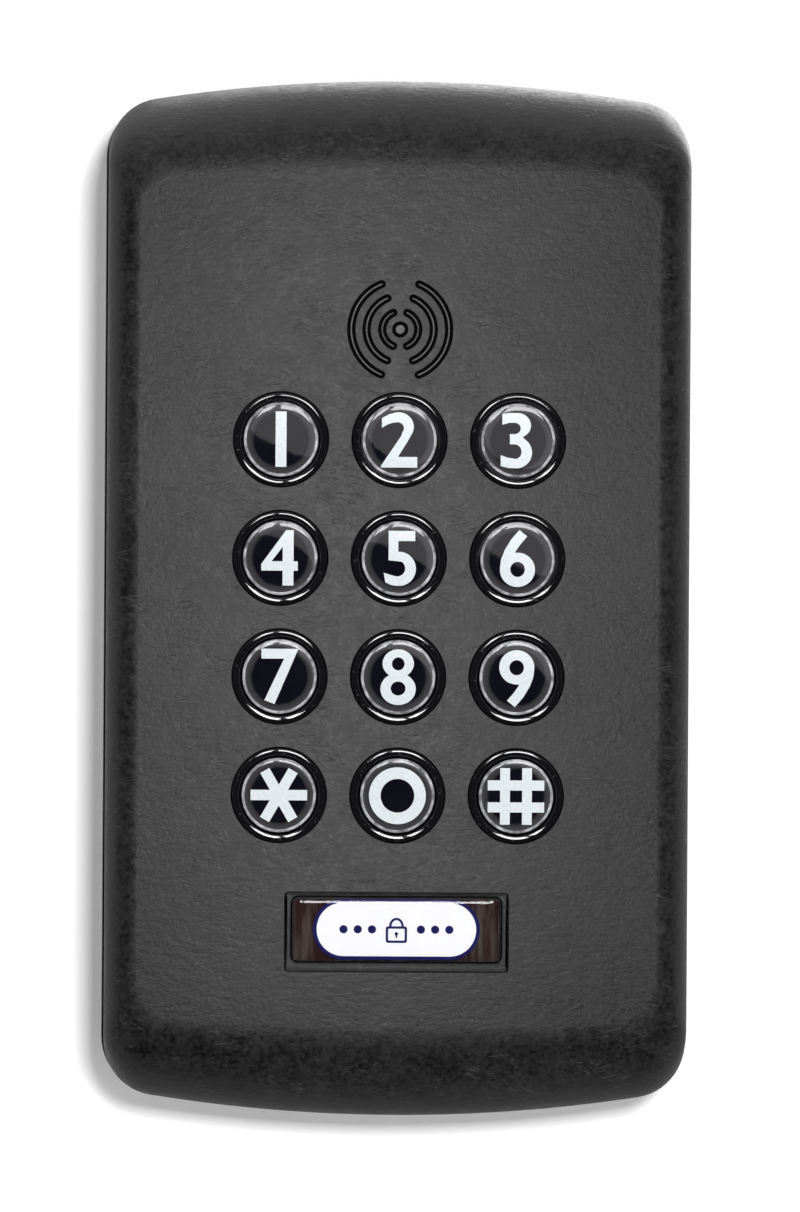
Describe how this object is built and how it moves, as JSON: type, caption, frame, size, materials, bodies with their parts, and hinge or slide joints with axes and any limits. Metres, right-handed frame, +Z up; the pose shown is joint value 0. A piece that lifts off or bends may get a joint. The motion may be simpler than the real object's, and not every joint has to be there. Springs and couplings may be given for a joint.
{
  "type": "keypad access reader",
  "caption": "Upright wall-mounted access reader with round domed number keys, an engraved proximity-reader symbol and a small badge window, in a two-part rounded case.",
  "frame": {"origin": "centre of the flat rear face of the wall plate, which lies against the wall", "axes": "+Z up along the tall side of the reader, +Y into the wall, so the keys face -Y, and +X to the right as seen by the person who presses the keys"},
  "size_m": [0.075, 0.0249, 0.1324],
  "materials": {
    "satin_case": "satin moulded ABS with a faint leather-like texture",
    "gloss_black": "polished black",
    "key_resin": "clear-coated black, domed and polished",
    "smoked_lens": "smoked dark red-brown, polished",
    "clear_resin": "clear polished resin",
    "label_white": "printed white film",
    "white_plastic": "natural white acetal",
    "silicone": "moulded grey silicone",
    "carbon": "conductive carbon-filled rubber",
    "board_green": "solder-masked fibreglass laminate",
    "copper": "enamelled copper wire",
    "component_black": "moulded epoxy",
    "terminal_green": "moulded nylon",
    "led_red": "tinted diffused",
    "led_green": "tinted diffused",
    "led_amber": "tinted diffused",
    "steel": "zinc plated",
    "seal_rubber": "matt black"
  },
  "bodies": {
    "housing": {"front_cover": "satin_case", "rear_housing": "gloss_black", "case_gasket": "seal_rubber", "wall_plate": "steel", "cable_grommet": "seal_rubber", "key_guide_frame": "gloss_black", "silicone_keymat": "silicone", "smoked_window": "smoked_lens", "badge_label": "label_white", "badge_dome": "clear_resin", "status_light_pipe": "clear_resin", "status_led_red": "led_red", "status_led_green": "led_green", "status_led_amber": "led_amber", "circuit_board": "board_green", "antenna_coil": "copper", "sounder": "component_black", "microcontroller": "component_black", "door_relay": "component_black", "terminal_block": "terminal_green", "tamper_switch": "component_black", "tamper_spring": "steel", "security_screw": "steel", "case_screw_1": "steel", "board_screw_1": "steel", "case_screw_2": "steel", "board_screw_2": "steel", "case_screw_3": "steel", "board_screw_3": "steel", "case_screw_4": "steel", "board_screw_4": "steel"},
    "key_1": {"key_cap_1": "key_resin", "contact_pill_1": "carbon"},
    "key_2": {"key_cap_2": "key_resin", "contact_pill_2": "carbon"},
    "key_3": {"key_cap_3": "key_resin", "contact_pill_3": "carbon"},
    "key_4": {"key_cap_4": "key_resin", "contact_pill_4": "carbon"},
    "key_5": {"key_cap_5": "key_resin", "contact_pill_5": "carbon"},
    "key_6": {"key_cap_6": "key_resin", "contact_pill_6": "carbon"},
    "key_7": {"key_cap_7": "key_resin", "contact_pill_7": "carbon"},
    "key_8": {"key_cap_8": "key_resin", "contact_pill_8": "carbon"},
    "key_9": {"key_cap_9": "key_resin", "contact_pill_9": "carbon"},
    "key_star": {"key_cap_star": "key_resin", "contact_pill_star": "carbon"},
    "key_0": {"key_cap_0": "key_resin", "contact_pill_0": "carbon"},
    "key_hash": {"key_cap_hash": "key_resin", "contact_pill_hash": "carbon"},
    "tamper_plunger": {"tamper_plunger": "white_plastic"}
  },
  "joints": [
    {"name": "key_1_press", "type": "slide", "parent": "housing", "child": "key_1", "axis": [0, 1, 0], "range_m": [0, 0.0012], "stiffness_N_per_m": 1200, "deforming": ["silicone_keymat"]},
    {"name": "key_2_press", "type": "slide", "parent": "housing", "child": "key_2", "axis": [0, 1, 0], "range_m": [0, 0.0012], "stiffness_N_per_m": 1200, "deforming": ["silicone_keymat"]},
    {"name": "key_3_press", "type": "slide", "parent": "housing", "child": "key_3", "axis": [0, 1, 0], "range_m": [0, 0.0012], "stiffness_N_per_m": 1200, "deforming": ["silicone_keymat"]},
    {"name": "key_4_press", "type": "slide", "parent": "housing", "child": "key_4", "axis": [0, 1, 0], "range_m": [0, 0.0012], "stiffness_N_per_m": 1200, "deforming": ["silicone_keymat"]},
    {"name": "key_5_press", "type": "slide", "parent": "housing", "child": "key_5", "axis": [0, 1, 0], "range_m": [0, 0.0012], "stiffness_N_per_m": 1200, "deforming": ["silicone_keymat"]},
    {"name": "key_6_press", "type": "slide", "parent": "housing", "child": "key_6", "axis": [0, 1, 0], "range_m": [0, 0.0012], "stiffness_N_per_m": 1200, "deforming": ["silicone_keymat"]},
    {"name": "key_7_press", "type": "slide", "parent": "housing", "child": "key_7", "axis": [0, 1, 0], "range_m": [0, 0.0012], "stiffness_N_per_m": 1200, "deforming": ["silicone_keymat"]},
    {"name": "key_8_press", "type": "slide", "parent": "housing", "child": "key_8", "axis": [0, 1, 0], "range_m": [0, 0.0012], "stiffness_N_per_m": 1200, "deforming": ["silicone_keymat"]},
    {"name": "key_9_press", "type": "slide", "parent": "housing", "child": "key_9", "axis": [0, 1, 0], "range_m": [0, 0.0012], "stiffness_N_per_m": 1200, "deforming": ["silicone_keymat"]},
    {"name": "key_star_press", "type": "slide", "parent": "housing", "child": "key_star", "axis": [0, 1, 0], "range_m": [0, 0.0012], "stiffness_N_per_m": 1200, "deforming": ["silicone_keymat"]},
    {"name": "key_0_press", "type": "slide", "parent": "housing", "child": "key_0", "axis": [0, 1, 0], "range_m": [0, 0.0012], "stiffness_N_per_m": 1200, "deforming": ["silicone_keymat"]},
    {"name": "key_hash_press", "type": "slide", "parent": "housing", "child": "key_hash", "axis": [0, 1, 0], "range_m": [0, 0.0012], "stiffness_N_per_m": 1200, "deforming": ["silicone_keymat"]},
    {"name": "tamper_plunger_press", "type": "slide", "parent": "housing", "child": "tamper_plunger", "axis": [0, -1, 0], "range_m": [0, 0.0015], "stiffness_N_per_m": 300, "deforming": ["tamper_spring"]}
  ]
}
